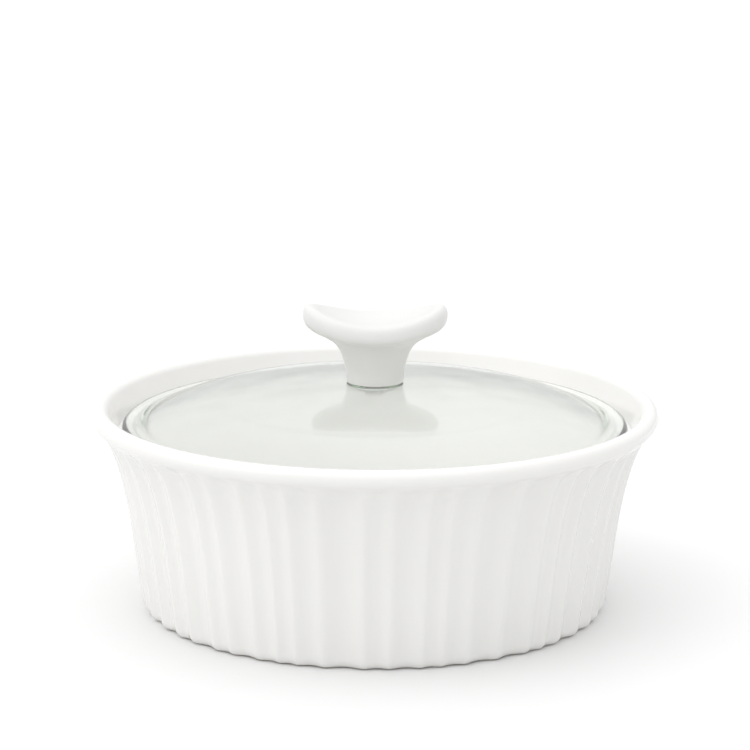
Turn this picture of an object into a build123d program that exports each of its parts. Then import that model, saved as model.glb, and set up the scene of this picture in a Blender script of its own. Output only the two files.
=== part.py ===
from build123d import *
import os
from math import acos, asin, cos, radians, sin, tan

os.makedirs("parts", exist_ok=True)

# A round stoneware casserole dish with a fluted wall, and a glass lid that
# rests on a ledge inside the rim. Millimetres, +Z up, the origin at the
# centre of the foot, the long way of the knob along X.

# ---- dish -------------------------------------------------------------------
dish_height = 91.0
lip_outer_radius = 125.0
lip_bead_radius = 4.0
lip_underside_angle = 50.0      # degrees below level, where the bead turns in
lip_inner_lean = 19.4           # lean of the wall between ledge and bead
flutes_end_height = 83.0        # the flutes have faded out here, under the bead
flutes_end_radius = 122.4

foot_radius = 98.5              # flat of the base, to the start of its corner
corner_radius = 5.0
corner_angles = [0, 30, 60, 90]

# Height, radius over the ridges and share of the full flute depth. The levels
# of a smooth loft are evenly spaced, so that it doesn't swing between them.
wall_sections = [
    (corner_radius, foot_radius + corner_radius, 1.0),
    (23.0, 106.0, 1.0),
    (41.0, 108.5, 1.0),
    (59.0, 112.05, 1.0),
    (76.0, 117.7, 1.0),
]
fade_sections = [
    wall_sections[-1],
    (79.5, 119.7, 0.75),
    (flutes_end_height, flutes_end_radius, 0.0),
]

# Uneven flutes, in degrees of turn: the pattern runs three times around.
flute_widths = [7.5, 6, 8, 5, 7.5, 5.5, 4.5, 6.5, 9.5, 6, 7.5, 5, 6, 8.5, 8.5, 5, 5.5, 8]
flute_repeats = 3
first_ridge_azimuth = -152.3
flute_depth_per_width = 0.13

floor_height = 7.5
floor_corner_radius = 13.0
cavity_foot_radius = 94.8       # where the inner wall would meet the floor
ledge_height = 78.0
ledge_inner_radius = 105.8
ledge_nose_radius = 1.5
ledge_root_radius = 1.2

foot_recess_radius = 90.0
foot_recess_depth = 1.6
foot_recess_round = 1.2
foot_recess_draft = 0.8

# ---- lid glass --------------------------------------------------------------
lid_radius = 111.4
flange_thickness = 5.1
flange_edge_radius = 2.3
glass_thickness = 4.5
crown_radius = 400.0            # the flat middle of the dome
crown_top = 100.5
crown_end_radius = 71.0         # the crown runs on into the tighter brow here
brow_radius = 116.0             # curves down to the flange
flange_root_radius = 18.0       # the brow runs softly out into the flange
underside_root_radius = 10.0
boss_radius = 10.4
boss_height = 0.9
boss_round = 0.4
glass_hole_radius = 4.0
glass_pad_radius = 10.5         # flat under the centre, for the lower seal
glass_pad_depth = 0.4

# ---- knob -------------------------------------------------------------------
knob_base = 102.2
knob_half_length = 31.9
knob_half_width = 21.8
saddle_radius = 70.0            # the top curves up towards both wing tips
saddle_height = 129.0
knob_lip_thickness = 8.6
knob_lip_round = 3.4
finger_dish_radius = 50.0
finger_dish_depth = 2.4
finger_dish_round = 1.2
stem_foot_round = 0.5

# Height, half length and half width of the stem that flares into the wings.
stem_sections = [
    (knob_base, 12.6, 12.6),
    (107.4, 13.3, 13.1),
    (112.6, 14.9, 14.2),
    (117.8, 18.3, 15.7),
    (123.0, 26.2, 17.2),
    (128.2, 30.2, 18.0),
]

# ---- screw, insert, washers and seals ------------------------------------------
screw_clearance_radius = 2.7
upper_seal_radius = 10.6
seal_sleeve_radius = 3.8
seal_sleeve_length = 3.5
lower_seal_radius = 9.5
lower_seal_thickness = 0.8
washer_radius = 8.5
washer_thickness = 1.0
washer_round = 0.3
lock_washer_radius = 4.5
lock_washer_thickness = 0.6
lock_washer_gap = 0.8
lock_washer_slant = 25.0
thread_radius = 2.45
thread_root_radius = 2.1
thread_pitch = 0.8
thread_turns = 20
screw_length = 20.0
screw_head_radius = 4.8
screw_head_height = 1.4
screw_head_round = 0.9
recess_length = 4.6
recess_width = 1.1
recess_depth = 1.7
recess_taper = 8.0
insert_radius = 4.0
insert_length = 12.0
insert_recess = 0.4
insert_bore_radius = 2.5
knurl_groove_radius = 0.3
knurl_groove_count = 20
insert_waist_depth = 0.5        # a turned groove that keys the insert in the stem
insert_waist_length = 2.0

# ---- heights and radii that follow ----------------------------------------------
boss_top = crown_top + boss_height
glass_pad_height = crown_top - glass_thickness - glass_pad_depth
washer_top = glass_pad_height - lower_seal_thickness
lock_washer_top = washer_top - washer_thickness
screw_head_top = lock_washer_top - lock_washer_thickness
insert_base = knob_base + insert_recess
flange_top = ledge_height + flange_thickness
crown_lean = asin(crown_end_radius / crown_radius)
brow_centre_radius = crown_end_radius - brow_radius * sin(crown_lean)
brow_centre_height = crown_top - crown_radius + (crown_radius - brow_radius) * cos(crown_lean)
saddle_centre_height = saddle_height + saddle_radius
finger_dish_centre_height = saddle_height - finger_dish_depth + finger_dish_radius


def around(radius, azimuth):
    """A point at a radius and an azimuth in degrees, in the sketch plane."""
    return (radius * cos(radians(azimuth)), radius * sin(radians(azimuth)))


def fluted_section(height, ridge_radius, depth_share):
    """One level through the fluted wall: a hollow arc per flute, meeting in sharp ridges."""
    azimuth = first_ridge_azimuth
    with BuildSketch(Plane.XY.offset(height)) as section:
        with BuildLine():
            for width in flute_widths * flute_repeats:
                half_turn = radians(width / 2)
                chord_drop = ridge_radius * (1 - cos(half_turn))
                chord = 2 * ridge_radius * sin(half_turn)
                depth = chord_drop + flute_depth_per_width * chord
                ThreePointArc(
                    around(ridge_radius, azimuth),
                    around(ridge_radius - depth_share * depth, azimuth + width / 2),
                    around(ridge_radius, azimuth + width),
                )
                azimuth += width
        make_face()
    return section.sketch.face()


def on_bead(angle):
    """Radius and height of a point on the lip's bead, angle in degrees above level."""
    return (
        lip_outer_radius - lip_bead_radius + lip_bead_radius * cos(radians(angle)),
        dish_height - lip_bead_radius + lip_bead_radius * sin(radians(angle)),
    )


def on_crown(lean, drop=0.0):
    """Radius and height on the crown, or on the surface drop under it; the lean is in radians."""
    reach = crown_radius - drop
    return (reach * sin(lean), crown_top - crown_radius + reach * cos(lean))


def on_brow(lean, drop=0.0):
    """Radius and height on the brow, or on the surface drop under it; the lean is in radians."""
    reach = brow_radius - drop
    return (brow_centre_radius + reach * sin(lean), brow_centre_height + reach * cos(lean))


def ring(outer_radius, inner_radius, base):
    """The outline of a flat ring at a height, for a washer or a seal."""
    with BuildSketch(Plane.XY.offset(base)) as outline:
        Circle(outer_radius)
        Circle(inner_radius, mode=Mode.SUBTRACT)
    return outline.sketch.face()


def is_circle_at(radius, height):
    """A test for the circular edge about Z with this radius and height."""

    def matches(edge):
        start = edge @ 0.0
        same_radius = abs(Vector(start.X, start.Y).length - radius) < 0.01
        return same_radius and abs(start.Z - height) < 0.01

    return matches


def is_finger_dish_rim(edge):
    """True for the closed edge where the finger dish meets the knob's saddle top."""
    from_centre = edge @ 0.5 - Vector(0, 0, finger_dish_centre_height)
    on_the_dish = abs(from_centre.length - finger_dish_radius) < 0.01
    return on_the_dish and edge.length > 2 * knob_half_length


# ---- dish: fluted wall, rolled lip, lid ledge and foot ring --------------------
corner_sections = [
    (
        corner_radius * (1 - cos(radians(angle))),
        foot_radius + corner_radius * sin(radians(angle)),
        1.0,
    )
    for angle in corner_angles
]
bead_inside = on_bead(180 - lip_inner_lean)
ledge_outer_radius = bead_inside[0] - (bead_inside[1] - ledge_height) * tan(radians(lip_inner_lean))

with BuildPart() as dish:
    loft([fluted_section(*section) for section in corner_sections])
    loft([fluted_section(*section) for section in wall_sections])
    loft([fluted_section(*section) for section in fade_sections])

    with BuildSketch(Plane.XZ):
        with BuildLine():
            Polyline(
                bead_inside,
                (ledge_inner_radius, bead_inside[1]),
                (ledge_inner_radius, flutes_end_height),
                (flutes_end_radius, flutes_end_height),
                on_bead(-lip_underside_angle),
            )
            ThreePointArc(on_bead(-lip_underside_angle), on_bead(60), bead_inside)
        make_face()
    revolve(axis=Axis.Z)

    with BuildSketch(Plane.XZ):
        with BuildLine():
            FilletPolyline(
                (0, floor_height),
                (cavity_foot_radius, floor_height),
                (ledge_inner_radius, ledge_height),
                (ledge_outer_radius, ledge_height),
                bead_inside,
                radius=[floor_corner_radius, ledge_nose_radius, ledge_root_radius],
            )
            Polyline(
                bead_inside,
                (bead_inside[0], dish_height + lip_bead_radius),
                (0, dish_height + lip_bead_radius),
                (0, floor_height),
            )
        make_face()
    revolve(axis=Axis.Z, mode=Mode.SUBTRACT)

    with BuildSketch(Plane.XZ):
        with BuildLine():
            FilletPolyline(
                (0, foot_recess_depth),
                (foot_recess_radius, foot_recess_depth),
                (foot_recess_radius + foot_recess_draft, 0),
                radius=foot_recess_round,
            )
            Polyline(
                (foot_recess_radius + foot_recess_draft, 0),
                (0, 0),
                (0, foot_recess_depth),
            )
        make_face()
    revolve(axis=Axis.Z, mode=Mode.SUBTRACT)
dish.part.label = "dish"
export_step(dish.part, "parts/dish.step")

# ---- lid glass: flat flange, brow, low crown and centre boss ----------------------
boss_lean = asin(boss_radius / crown_radius)
pad_lean = asin(glass_pad_radius / (crown_radius - glass_thickness))
flange_lean = acos((flange_top - brow_centre_height) / brow_radius)
underside_lean = acos((ledge_height - brow_centre_height) / (brow_radius - glass_thickness))

with BuildPart() as lid_glass:
    with BuildSketch(Plane.XZ):
        with BuildLine():
            FilletPolyline(
                (glass_hole_radius, boss_top),
                (boss_radius, boss_top),
                on_crown(boss_lean),
                radius=boss_round,
            )
            ThreePointArc(on_crown(boss_lean), on_crown(crown_lean / 2), on_crown(crown_lean))
            ThreePointArc(
                on_crown(crown_lean),
                on_brow((crown_lean + flange_lean) / 2),
                on_brow(flange_lean),
            )
            FilletPolyline(
                on_brow(flange_lean),
                (lid_radius, flange_top),
                (lid_radius, ledge_height),
                on_brow(underside_lean, glass_thickness),
                radius=flange_edge_radius,
            )
            ThreePointArc(
                on_brow(underside_lean, glass_thickness),
                on_brow((crown_lean + underside_lean) / 2, glass_thickness),
                on_brow(crown_lean, glass_thickness),
            )
            ThreePointArc(
                on_crown(crown_lean, glass_thickness),
                on_crown(crown_lean / 2, glass_thickness),
                on_crown(pad_lean, glass_thickness),
            )
            Polyline(
                on_crown(pad_lean, glass_thickness),
                (glass_pad_radius, glass_pad_height),
                (glass_hole_radius, glass_pad_height),
                (glass_hole_radius, boss_top),
            )
        make_face()
    revolve(axis=Axis.Z)
    flange_root = lid_glass.edges().filter_by(is_circle_at(*on_brow(flange_lean)))
    fillet(flange_root, radius=flange_root_radius)
    underside_root = lid_glass.edges().filter_by(is_circle_at(*on_brow(underside_lean, glass_thickness)))
    fillet(underside_root, radius=underside_root_radius)
lid_glass.part.label = "lid_glass"
export_step(lid_glass.part, "parts/lid_glass.step")

# ---- knob: two wings with a rolled lip over a flared stem --------------------------
with BuildPart() as knob:
    with BuildSketch(Plane.XY.offset(knob_base)):
        Ellipse(knob_half_length, knob_half_width)
    extrude(amount=2 * knob_half_length)
    with BuildSketch(Plane.XZ.offset(-knob_half_length)):
        with Locations((0, saddle_centre_height)):
            Circle(saddle_radius + knob_lip_thickness)
            Circle(saddle_radius, mode=Mode.SUBTRACT)
    extrude(amount=2 * knob_half_length, mode=Mode.INTERSECT)
    fillet(knob.edges().filter_by(lambda edge: edge.length > knob_half_length), radius=knob_lip_round)

    for height, half_length, half_width in stem_sections:
        with BuildSketch(Plane.XY.offset(height)):
            Ellipse(half_length, half_width)
    loft()
    fillet(knob.edges().group_by(Axis.Z)[0], radius=stem_foot_round)

    with Locations((0, 0, finger_dish_centre_height)):
        Sphere(finger_dish_radius, mode=Mode.SUBTRACT)
    fillet(knob.edges().filter_by(is_finger_dish_rim), radius=finger_dish_round)

    with BuildSketch(Plane.XY.offset(knob_base)):
        Circle(insert_radius)
    extrude(amount=insert_length + insert_recess, mode=Mode.SUBTRACT)
knob.part.label = "knob"
export_step(knob.part, "parts/knob.step")

# ---- knob insert: a knurled brass bush moulded into the stem -----------------------
with BuildPart() as knob_insert:
    with BuildSketch(Plane.XY.offset(insert_base)):
        Circle(insert_radius)
        with PolarLocations(insert_radius, knurl_groove_count):
            Circle(knurl_groove_radius, mode=Mode.SUBTRACT)
    extrude(amount=insert_length)
    waist_base = insert_base + (insert_length - insert_waist_length) / 2
    extrude(
        ring(insert_radius + insert_waist_depth, insert_radius - insert_waist_depth, waist_base),
        amount=insert_waist_length,
        mode=Mode.SUBTRACT,
    )
    with Locations((0, 0, insert_base)):
        Hole(insert_bore_radius)
knob_insert.part.label = "knob_insert"
export_step(knob_insert.part, "parts/knob_insert.step")

# ---- upper seal: between stem and glass, with a sleeve down the glass hole ----------
with BuildPart() as upper_seal:
    extrude(ring(upper_seal_radius, screw_clearance_radius, boss_top), amount=knob_base - boss_top)
    sleeve = ring(seal_sleeve_radius, screw_clearance_radius, boss_top - seal_sleeve_length)
    extrude(sleeve, amount=seal_sleeve_length)
upper_seal.part.label = "upper_seal"
export_step(upper_seal.part, "parts/upper_seal.step")

# ---- lower seal: under the glass ----------------------------------------------------
with BuildPart() as lower_seal:
    extrude(ring(lower_seal_radius, screw_clearance_radius, washer_top), amount=lower_seal_thickness)
lower_seal.part.label = "lower_seal"
export_step(lower_seal.part, "parts/lower_seal.step")

# ---- flat washer: spreads the screw's pull over the seal ----------------------------
with BuildPart() as washer:
    extrude(ring(washer_radius, screw_clearance_radius, lock_washer_top), amount=washer_thickness)
    rims = washer.edges().filter_by(GeomType.CIRCLE).group_by(SortBy.RADIUS)[-1]
    fillet(rims, radius=washer_round)
washer.part.label = "washer"
export_step(washer.part, "parts/washer.step")

# ---- lock washer: a split spring ring under the screw's head ------------------------
with BuildPart() as lock_washer:
    lock_ring = ring(lock_washer_radius, screw_clearance_radius, screw_head_top)
    extrude(lock_ring, amount=lock_washer_thickness)
    with BuildSketch(Plane.XZ):
        with Locations((0, screw_head_top + lock_washer_thickness / 2)):
            Rectangle(lock_washer_gap, 2 * lock_washer_thickness, rotation=lock_washer_slant)
    extrude(amount=lock_washer_radius, mode=Mode.SUBTRACT)
lock_washer.part.label = "lock_washer"
export_step(lock_washer.part, "parts/lock_washer.step")

# ---- lid screw: low round head, cross recess, threaded shank -------------------------------
screw_tip = screw_head_top + screw_length
thread_outline = [(0, screw_head_top), (thread_radius, screw_head_top)]
for turn in range(thread_turns, 0, -1):
    turn_base = screw_tip - turn * thread_pitch
    thread_outline.append((thread_radius, turn_base))
    thread_outline.append((thread_root_radius, turn_base + thread_pitch / 2))
thread_outline.append((thread_root_radius, screw_tip))
thread_outline.append((0, screw_tip))

with BuildPart() as lid_screw:
    with BuildSketch(Plane.XY.offset(screw_head_top - screw_head_height)):
        Circle(screw_head_radius)
    extrude(amount=screw_head_height)
    fillet(lid_screw.edges().group_by(Axis.Z)[0], radius=screw_head_round)
    with BuildSketch(Plane.XZ):
        with BuildLine():
            Polyline(*thread_outline, close=True)
        make_face()
    revolve(axis=Axis.Z)
    with BuildSketch(Plane.XY.offset(screw_head_top - screw_head_height)):
        for turn in (0, 90):
            SlotOverall(recess_length, recess_width, rotation=turn)
    extrude(amount=recess_depth, taper=recess_taper, mode=Mode.SUBTRACT)
lid_screw.part.label = "lid_screw"
export_step(lid_screw.part, "parts/lid_screw.step")
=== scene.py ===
from math import asin, cos, pi, radians, sin, sqrt, tan

import bmesh
import bpy
from mathutils import Matrix, Vector


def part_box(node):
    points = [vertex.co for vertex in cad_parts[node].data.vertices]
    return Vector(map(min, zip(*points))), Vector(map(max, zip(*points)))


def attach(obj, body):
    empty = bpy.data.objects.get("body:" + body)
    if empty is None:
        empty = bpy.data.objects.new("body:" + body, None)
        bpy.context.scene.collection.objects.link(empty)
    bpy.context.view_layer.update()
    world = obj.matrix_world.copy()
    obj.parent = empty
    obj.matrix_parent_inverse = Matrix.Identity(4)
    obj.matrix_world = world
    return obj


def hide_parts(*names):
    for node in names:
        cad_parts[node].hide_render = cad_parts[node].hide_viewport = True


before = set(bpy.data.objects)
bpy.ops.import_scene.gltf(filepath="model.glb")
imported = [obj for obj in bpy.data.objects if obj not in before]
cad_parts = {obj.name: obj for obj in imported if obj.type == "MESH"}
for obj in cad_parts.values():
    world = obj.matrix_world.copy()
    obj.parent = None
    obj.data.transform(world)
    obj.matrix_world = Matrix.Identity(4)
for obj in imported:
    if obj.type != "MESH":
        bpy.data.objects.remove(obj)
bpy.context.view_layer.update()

# A round fluted stoneware casserole dish, its glass lid and the lid's winged
# white knob. Profiles are in millimetres, as (radius, height) pairs; meshes
# are in metres, in the frame's own coordinates.
MM = 0.001
dish_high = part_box("dish")[1]
lid_low, lid_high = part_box("lid_glass")
knob_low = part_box("knob")[0]
rim_height = dish_high[2] / MM
rim_radius = dish_high[0] / MM
ledge_height = lid_low[2] / MM
lid_radius = lid_high[0] / MM
knob_base = knob_low[2] / MM


# ---- profiles -------------------------------------------------------------------
def arc(centre, radius, start, end, steps):
    """Points on an arc, angles in degrees above level."""
    turns = [radians(start + (end - start) * k / steps) for k in range(steps + 1)]
    return [(centre[0] + radius * cos(t), centre[1] + radius * sin(t)) for t in turns]


def smooth_through(points, steps):
    """A Catmull-Rom run through rows of numbers, with steps rows to each stretch."""
    ends = [points[0], *points, points[-1]]
    run = []
    for p, q, r, s in zip(ends, ends[1:], ends[2:], ends[3:]):
        for k in range(steps):
            t = k / steps
            run.append(tuple(
                b + 0.5 * t * (c - a + t * (2 * a - 5 * b + 4 * c - d
                                            + t * (3 * (b - c) + d - a)))
                for a, b, c, d in zip(p, q, r, s)
            ))
    return run + [tuple(points[-1])]


def rounded(corners, radii, steps):
    """Straight runs through corners, the inner ones rounded to the given radii."""
    profile = [tuple(corners[0])]
    for before, corner, after, radius in zip(corners, corners[1:], corners[2:], radii):
        before, corner, after = Vector(before), Vector(corner), Vector(after)
        back = (before - corner).normalized()
        onward = (after - corner).normalized()
        half = back.angle(onward) / 2
        centre = corner + (back + onward).normalized() * (radius / sin(half))
        first = corner + back * (radius / tan(half)) - centre
        last = corner + onward * (radius / tan(half)) - centre
        for k in range(steps + 1):
            t = k / steps
            profile.append(tuple(centre + (first * (1 - t) + last * t).normalized() * radius))
    return profile + [tuple(corners[-1])]


# ---- meshes -----------------------------------------------------------------------
def skin(name, rings, closed):
    """A smooth mesh over rings of points. A ring of one point closes an end; closed joins
    the last ring to the first."""
    bm = bmesh.new()
    rows = [[bm.verts.new(Vector(point) * MM) for point in ring] for ring in rings]
    if closed:
        rows.append(rows[0])
    for lower, upper in zip(rows, rows[1:]):
        count = max(len(lower), len(upper))
        for i in range(count):
            j = (i + 1) % count
            corners = [lower[i % len(lower)], lower[j % len(lower)],
                       upper[j % len(upper)], upper[i % len(upper)]]
            bm.faces.new(list(dict.fromkeys(corners)))
    bmesh.ops.recalc_face_normals(bm, faces=bm.faces)
    mesh = bpy.data.meshes.new(name)
    bm.to_mesh(mesh)
    bm.free()
    mesh.shade_smooth()
    piece = bpy.data.objects.new(name, mesh)
    bpy.context.scene.collection.objects.link(piece)
    return piece


def turned(profile, columns):
    """Rings of points from a profile turned about Z. Radius 0 gives a single point."""
    rings = []
    for radius, height in profile:
        if radius == 0:
            rings.append([(0, 0, height)])
        else:
            turns = [2 * pi * k / columns for k in range(columns)]
            rings.append([(radius * cos(t), radius * sin(t), height) for t in turns])
    return rings


# ---- dish ---------------------------------------------------------------------------
flute_widths = [7.5, 6, 8, 5, 7.5, 5.5, 4.5, 6.5, 9.5, 6, 7.5, 5, 6, 8.5, 8.5, 5, 5.5, 8]
flute_repeats = 3
first_ridge_azimuth = -152.3
columns_per_flute = 12
flute_depth_per_width = 0.12
ridge_softness = 0.6
foot_radius = 98.5
corner_radius = 5.0
bead_radius = 4.0
bead_centre = (rim_radius - bead_radius, rim_height - bead_radius)
bead_underside = -50.0
bead_inner_lean = 19.4
floor_height = 7.5
foot_recess_depth = 1.6
foot_recess_radius = 90.0
foot_ring_inner = 90.8
foot_ring_outer = 94.0
foot_recess_rounds = [1.2, 0.5]
ledge_inner_radius = 105.8
floor_edge_radius = 94.8
inside_rounds = [1.2, 1.5, 13.0]     # the ledge's two edges and the floor's corner

# Radius over the ridges, height and share of the full flute depth.
wall_rows = [
    (foot_radius + corner_radius, corner_radius, 1.0),
    (106.1, 24.0, 1.0),
    (109.0, 44.0, 1.0),
    (112.3, 60.0, 1.0),
    (115.2, 70.0, 1.0),
    (117.7, 76.0, 1.0),
    (120.0, 80.0, 0.7),
    (122.4, 83.0, 0.0),
]


def flute_columns():
    """Azimuth and hollow of each column of the wall, the hollow for a radius of 1."""
    soft_full = sqrt(1 + ridge_softness**2) - ridge_softness
    columns = []
    azimuth = first_ridge_azimuth
    for width in flute_widths * flute_repeats:
        half = radians(width / 2)
        deepest = 1 - cos(half) + flute_depth_per_width * 2 * sin(half)
        for k in range(columns_per_flute):
            across = 2 * k / columns_per_flute - 1
            bowl = sqrt((1 - across**2) ** 2 + ridge_softness**2) - ridge_softness
            turn = radians(azimuth + width * k / columns_per_flute)
            columns.append((turn, deepest * bowl / soft_full))
        azimuth += width
    return columns


def dish_rings():
    """Rings from the middle of the underside, up the wall, over the lip and back inside."""
    bead_inside = arc(bead_centre, bead_radius, 180 - bead_inner_lean, 180 - bead_inner_lean, 1)[0]
    ledge_outer = bead_inside[0] - (bead_inside[1] - ledge_height) * tan(radians(bead_inner_lean))
    underside = [(0, foot_recess_depth), (foot_recess_radius, foot_recess_depth),
                 (foot_ring_inner, 0.0), (foot_ring_outer, 0.0)]
    plain = rounded(underside, foot_recess_rounds, 4)
    fluted = [(radius, height, 1.0) for radius, height in
              arc((foot_radius, corner_radius), corner_radius, -90, 0, 8)][:-1]
    fluted += smooth_through(wall_rows, 5)
    lip = arc(bead_centre, bead_radius, bead_underside, 180 - bead_inner_lean, 22)
    inside = [bead_inside, (ledge_outer, ledge_height), (ledge_inner_radius, ledge_height),
              (floor_edge_radius, floor_height), (0, floor_height)]
    rows = [(r, z, 0.0) for r, z in plain] + fluted + [(r, z, 0.0) for r, z in lip]
    rows += [(r, z, 0.0) for r, z in rounded(inside, inside_rounds, 8)[1:]]
    columns = flute_columns()
    rings = []
    for radius, height, share in rows:
        if radius == 0:
            rings.append([(0, 0, height)])
            continue
        ring = []
        for turn, hollow in columns:
            reach = radius * (1 - share * hollow)
            ring.append((reach * cos(turn), reach * sin(turn), height))
        rings.append(ring)
    return rings


# ---- lid glass --------------------------------------------------------------------------
crown_radius = 400.0
crown_top = 100.5
crown_end_radius = 71.0
crown_lean = asin(crown_end_radius / crown_radius)
brow_radius = 116.0
brow_centre = (
    (crown_radius - brow_radius) * sin(crown_lean),
    crown_top - crown_radius + (crown_radius - brow_radius) * cos(crown_lean),
)
glass_thickness = 4.5
flange_root_radius = 18.0
flange_thickness = 5.1
flange_edge_round = 2.3
underside_root_radius = 10.0
clearance = 0.1                 # air between the glass and what it touches
flange_base = ledge_height + clearance
flange_top = ledge_height + flange_thickness
boss_radius = 10.4
boss_round = 0.4
boss_surround = 3               # the nearly flat ring of glass round the boss
crown_start = boss_radius + boss_surround
hole_radius = 4.0
pad_radius = 10.5
pad_depth = 0.4
pad_height = crown_top - glass_thickness - pad_depth + clearance
brow_steps = 24
crown_steps = 24
underside_steps = 28
root_steps = 4                  # brow steps that the root's curve takes over, on top
under_root_steps = 3            # and underneath
glass_columns = 256


def on_crown(radius, drop=0.0):
    """A point on the crown's top, or on the curve drop below it."""
    return (radius, crown_top - crown_radius + sqrt((crown_radius - drop) ** 2 - radius**2))


def on_brow(height, drop=0.0):
    """A point on the brow's outside at a height, or on the curve drop inside it."""
    reach = sqrt((brow_radius - drop) ** 2 - (height - brow_centre[1]) ** 2)
    return (brow_centre[0] + reach, height)


def brow_angle(point, drop=0.0):
    """Angle above level, in degrees, of a point of the brow seen from its centre."""
    return 90 - asin((point[0] - brow_centre[0]) / (brow_radius - drop)) * 180 / pi


def lid_profile():
    """The glass in section: over the top from the hole to the flange, and back underneath."""
    boss_top = lid_high[2] / MM - clearance
    profile = rounded([(hole_radius, boss_top), (boss_radius, boss_top), on_crown(boss_radius),
                       on_crown(crown_start)], [boss_round, boss_round], 5)[:-1]
    crown_run = crown_end_radius - crown_start
    profile += [on_crown(crown_start + crown_run * k / crown_steps)
                for k in range(crown_steps + 1)]
    above = 90 - crown_lean * 180 / pi
    flange_root = on_brow(flange_top)
    brow = arc(brow_centre, brow_radius, above, brow_angle(flange_root), brow_steps)[1:]
    profile += brow[:-root_steps]
    under_root = on_brow(flange_base, glass_thickness)
    under_brow = arc(brow_centre, brow_radius - glass_thickness,
                     brow_angle(under_root, glass_thickness), above, brow_steps)
    flange = [brow[-root_steps - 1], flange_root, (lid_radius, flange_top),
              (lid_radius, flange_base), under_root, under_brow[under_root_steps]]
    flange_rounds = [flange_root_radius, flange_edge_round, flange_edge_round,
                     underside_root_radius]
    profile += rounded(flange, flange_rounds, 8)[1:-1]
    profile += under_brow[under_root_steps:]
    inner = profile[-1][0]
    profile += [on_crown(inner - (inner - pad_radius) * k / underside_steps, glass_thickness)
                for k in range(1, underside_steps + 1)]
    return profile + [(pad_radius, pad_height), (hole_radius, pad_height)]


# ---- knob -----------------------------------------------------------------------------------
skirt_depth = 1.8               # the stem's skirt, from the knob's seat down to the glass
skirt_base = knob_base - skirt_depth
recess_radius = 11.4            # room inside the skirt for the seal and the boss
recess_taper = 0.1
skirt_edge = 0.5

# Half length, half width, height at the wing tips and height at the middle.
knob_rows = [
    (12.1, 12.1, skirt_base, skirt_base),
    (12.6, 12.6, skirt_base + skirt_edge, skirt_base + skirt_edge),
    (12.9, 12.8, 105.5, 105.5),
    (13.9, 13.5, 109.5, 109.5),
    (15.5, 14.5, 114.2, 114.0),
    (18.6, 15.4, 118.2, 117.3),
    (22.8, 16.2, 120.8, 118.8),
    (26.8, 16.9, 123.0, 119.7),
    (29.4, 19.4, 124.6, 119.9),
    (31.2, 21.2, 126.9, 120.9),
    (31.8, 21.7, 130.0, 122.8),
    (31.4, 21.2, 132.6, 125.3),
    (30.2, 20.0, 134.1, 127.3),
    (28.6, 18.2, 134.4, 128.2),
    (26.2, 15.7, 133.7, 127.9),
    (23.0, 13.0, 131.9, 127.2),
    (16.0, 9.0, 129.0, 126.5),
    (8.0, 4.5, 126.9, 126.1),
]
knob_columns = 128
insert_radius = 4.0
insert_height = 12.4
insert_top = knob_base + insert_height
saddle_middle = 126.0


def knob_rings():
    """Rings from the top of the bore, out through the recess and up over the knob."""
    rows = [(insert_radius, insert_radius, insert_top, insert_top),
            (insert_radius, insert_radius, knob_base, knob_base),
            (recess_radius - recess_taper, recess_radius - recess_taper, knob_base, knob_base),
            (recess_radius, recess_radius, skirt_base, skirt_base)]
    rows += smooth_through(knob_rows, 6)
    rings = [[(0, 0, insert_top)]]
    for half_length, half_width, tip_height, middle_height in rows:
        ring = []
        for k in range(knob_columns):
            c, s = cos(2 * pi * k / knob_columns), sin(2 * pi * k / knob_columns)
            height = middle_height + (tip_height - middle_height) * c * c
            ring.append((half_length * c, half_width * s, height))
        rings.append(ring)
    rings.append([(0, 0, saddle_middle)])
    return rings


# ---- materials --------------------------------------------------------------------------------
class Material:
    """A node material with one Principled shader and a few short ways to feed it."""

    def __init__(self, name):
        self.made = bpy.data.materials.new(name)
        self.made.use_nodes = True
        self.tree = self.made.node_tree
        self.shader = self.tree.nodes["Principled BSDF"]
        self.output = self.tree.nodes["Material Output"]
        self.place = self.node("ShaderNodeTexCoord").outputs["Object"]

    def node(self, kind, **inputs):
        node = self.tree.nodes.new(kind)
        for name, value in inputs.items():
            self.feed(node.inputs[name.replace("_", " ")], value)
        return node

    def feed(self, socket, value):
        if isinstance(value, bpy.types.NodeSocket):
            self.tree.links.new(value, socket)
        else:
            socket.default_value = value

    def set(self, **inputs):
        for name, value in inputs.items():
            self.feed(self.shader.inputs[name.replace("_", " ")], value)

    def noise(self, scale, detail=3.0, roughness=0.5):
        noise = self.node("ShaderNodeTexNoise", Vector=self.place, Scale=scale,
                          Detail=detail, Roughness=roughness)
        return noise.outputs["Fac"]

    def span(self, factor, low, high, from_low=0.3, from_high=0.7):
        """A number that runs from low to high as factor does."""
        node = self.node("ShaderNodeMapRange", Value=factor)
        for name, value in (("From Min", from_low), ("From Max", from_high),
                            ("To Min", low), ("To Max", high)):
            node.inputs[name].default_value = value
        return node.outputs["Result"]

    def blend(self, factor, first, second):
        """A colour between two, by factor."""
        node = self.tree.nodes.new("ShaderNodeMix")
        node.data_type = "RGBA"
        self.feed(node.inputs["Factor"], factor)
        for socket, value in ((node.inputs[6], first), (node.inputs[7], second)):
            self.feed(socket, (*value, 1.0) if isinstance(value, tuple) else value)
        return node.outputs[2]

    def bump(self, height, strength, distance, under=None):
        node = self.node("ShaderNodeBump", Height=height, Strength=strength, Distance=distance)
        if under is not None:
            self.feed(node.inputs["Normal"], under)
        return node.outputs["Normal"]


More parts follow.
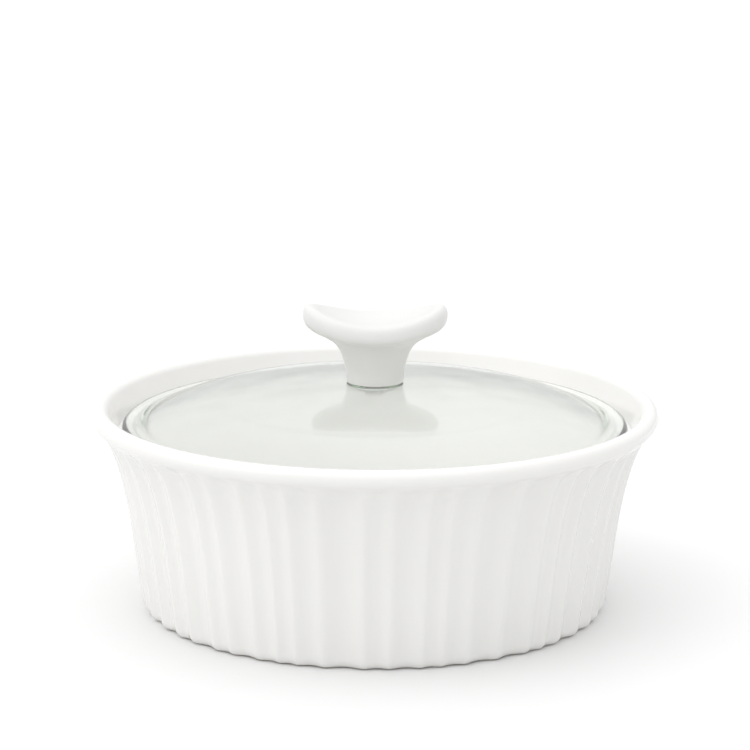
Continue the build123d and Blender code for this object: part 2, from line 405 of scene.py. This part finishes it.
def glazed_stoneware():
    m = Material("glazed_stoneware")
    tone = m.noise(14.0, 4.0)
    glaze = m.blend(m.span(tone, 0.0, 1.0), (0.80, 0.795, 0.779), (0.82, 0.816, 0.801))
    # The glaze stops just above the floor: the lowest half millimetre of the foot is bare.
    height = m.node("ShaderNodeSeparateXYZ", Vector=m.place).outputs["Z"]
    bare = m.span(height, 1.0, 0.0, 0.0002, 0.0006)
    grain = m.noise(1400.0, 4.0)
    biscuit = m.blend(m.span(grain, 0.0, 1.0), (0.66, 0.60, 0.51), (0.76, 0.71, 0.62))
    peel = m.bump(m.noise(260.0, 2.0), 0.06, 0.0002)
    m.set(
        Base_Color=m.blend(bare, glaze, biscuit),
        Roughness=m.span(bare, 0.13, 0.7, 0.0, 1.0),
        Normal=m.bump(grain, m.span(bare, 0.0, 0.4, 0.0, 1.0), 0.0001, peel),
        IOR=1.52,
    )
    return m.made


def lid_glass_material():
    m = Material("lid_glass")
    m.set(
        Base_Color=(1.0, 1.0, 1.0, 1.0),
        Roughness=m.span(m.noise(60.0, 2.0), 0.06, 0.09),
        IOR=1.52,
        Transmission_Weight=1.0,
        Normal=m.bump(m.noise(28.0, 1.0), 0.25, 0.0003),
    )
    absorb = m.node("ShaderNodeVolumeAbsorption", Color=(0.88, 0.95, 0.87, 1.0), Density=50.0)
    m.tree.links.new(absorb.outputs["Volume"], m.output.inputs["Volume"])
    return m.made


def knob_plastic():
    m = Material("knob_plastic")
    tone = m.span(m.noise(45.0, 4.0), 0.0, 1.0)
    m.set(
        Base_Color=m.blend(tone, (0.715, 0.715, 0.703), (0.725, 0.725, 0.713)),
        Roughness=m.span(m.noise(120.0, 3.0), 0.28, 0.36),
        Normal=m.bump(m.noise(1600.0, 2.0), 0.04, 0.00005),
        IOR=1.5,
    )
    return m.made


def milky_silicone():
    m = Material("silicone")
    tone = m.span(m.noise(300.0, 2.0), 0.0, 1.0)
    m.set(
        Base_Color=m.blend(tone, (0.84, 0.86, 0.84), (0.89, 0.91, 0.89)),
        Roughness=m.span(m.noise(500.0, 3.0), 0.4, 0.55),
        Normal=m.bump(m.noise(1200.0, 2.0), 0.1, 0.0001),
    )
    return m.made


def metal(name, dark, light, rough_low, rough_high):
    """Turned metal: fine rings of tone and roughness round the screw's axis."""
    m = Material(name)
    rings = m.node("ShaderNodeTexWave", Vector=m.place, Scale=900.0, Distortion=3.0, Detail=2.0)
    rings.wave_type = "RINGS"
    rings.rings_direction = "Z"
    wear = m.noise(350.0, 4.0)
    m.set(
        Base_Color=m.blend(m.span(wear, 0.0, 1.0), dark, light),
        Metallic=1.0,
        Roughness=m.span(rings.outputs["Fac"], rough_low, rough_high, 0.0, 1.0),
        Normal=m.bump(rings.outputs["Fac"], 0.08, 0.00005),
    )
    return m.made


# ---- the pieces -------------------------------------------------------------------------------
def add_piece(name, rings, closed, material, body, node):
    piece = skin(name, rings, closed)
    piece.data.materials.append(material)
    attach(piece, body)
    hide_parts(node)
    return piece


add_piece("fluted_dish", dish_rings(), False, glazed_stoneware(),
          "dish", "dish")
glass_lid = add_piece("glass_lid", turned(lid_profile(), glass_columns), True,
                      lid_glass_material(), "lid", "lid_glass")
# Clear glass darkens the inside of the dish very little, so soft light goes straight through.
glass_lid.visible_shadow = False
glass_lid.visible_diffuse = False
add_piece("winged_knob", knob_rings(), False, knob_plastic(), "lid", "knob")

steel = metal("stainless_steel", (0.55, 0.55, 0.54), (0.68, 0.68, 0.67), 0.18, 0.34)
node_materials = {
    "knob_insert": metal("brass", (0.60, 0.42, 0.16), (0.74, 0.54, 0.24), 0.2, 0.36),
    "upper_seal": milky_silicone(),
    "lower_seal": milky_silicone(),
    "washer": steel,
    "lock_washer": steel,
    "lid_screw": steel,
}
for node, material in node_materials.items():
    cad_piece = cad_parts[node]
    for material_slot in cad_piece.material_slots:
        material_slot.material = material


# ---- floor, light and camera --------------------------------------------------------------------
def pale_floor():
    m = Material("pale_floor")
    tone = m.span(m.noise(3.0, 2.0), 0.0, 1.0)
    m.set(Base_Color=m.blend(tone, (0.81, 0.81, 0.81), (0.82, 0.82, 0.82)), Roughness=0.6)
    return m.made


bpy.ops.mesh.primitive_plane_add(size=12.0, location=(0, 0, 0))
floor = bpy.context.object
floor.name = "floor"
floor.data.materials.append(pale_floor())


def soft_sun(name, azimuth, elevation, strength, spread):
    """A wide soft light from one side, the same all over the floor."""
    lamp = bpy.data.lights.new(name, "SUN")
    lamp.energy, lamp.angle = strength, radians(spread)
    sun = bpy.data.objects.new(name, lamp)
    towards = Vector((cos(radians(azimuth)), sin(radians(azimuth)), tan(radians(elevation))))
    sun.rotation_euler = (-towards).to_track_quat("-Z", "Y").to_euler()
    bpy.context.scene.collection.objects.link(sun)


soft_sun("key_light", -160.0, 42.0, 0.35, 60.0)
soft_sun("top_light", -90.0, 75.0, 0.3, 60.0)

# A white tent of light, brighter overhead and a little brighter on the left and behind.
world = bpy.data.worlds.new("studio")
world.use_nodes = True
sky = world.node_tree
parts = sky.nodes.new("ShaderNodeSeparateXYZ")
sky.links.new(sky.nodes.new("ShaderNodeTexCoord").outputs["Generated"], parts.inputs["Vector"])


def along(axis, low, high, low_light, high_light):
    """Light that changes evenly along one axis of the direction looked in."""
    node = sky.nodes.new("ShaderNodeMapRange")
    sky.links.new(parts.outputs[axis], node.inputs["Value"])
    for setting, value in (("From Min", low), ("From Max", high),
                           ("To Min", low_light), ("To Max", high_light)):
        node.inputs[setting].default_value = value
    return node.outputs["Result"]


def product(first, second):
    node = sky.nodes.new("ShaderNodeMath")
    node.operation = "MULTIPLY"
    sky.links.new(first, node.inputs[0])
    sky.links.new(second, node.inputs[1])
    return node.outputs["Value"]


across = product(along("X", -1.0, 1.0, 1.08, 0.85), along("Y", -1.0, 1.0, 0.97, 1.11))
tent = product(across, along("Z", 0.0, 1.0, 0.76, 1.38))
sky.links.new(tent, sky.nodes["Background"].inputs["Strength"])
sky.nodes["Background"].inputs["Color"].default_value = (1.0, 1.0, 1.0, 1.0)
bpy.context.scene.world = world
bpy.context.scene.view_settings.view_transform = "Standard"

# The camera stands ten rim radii in front of the axis, looks down a little, and leans slightly.
camera_distance = 10 * rim_radius * MM
camera_height = 3.068 * rim_radius * MM
camera_pitch = 12.65
camera_lean = 0.25
focal_length = 139.6
lens = bpy.data.cameras.new("camera")
lens.lens = focal_length
lens.sensor_width = 36.0
camera = bpy.data.objects.new("camera", lens)
camera.matrix_world = (
    Matrix.Translation((0, -camera_distance, camera_height))
    @ Matrix.Rotation(radians(90 - camera_pitch), 4, "X")
    @ Matrix.Rotation(radians(camera_lean), 4, "Z")
)
bpy.context.scene.collection.objects.link(camera)
bpy.context.scene.camera = camera
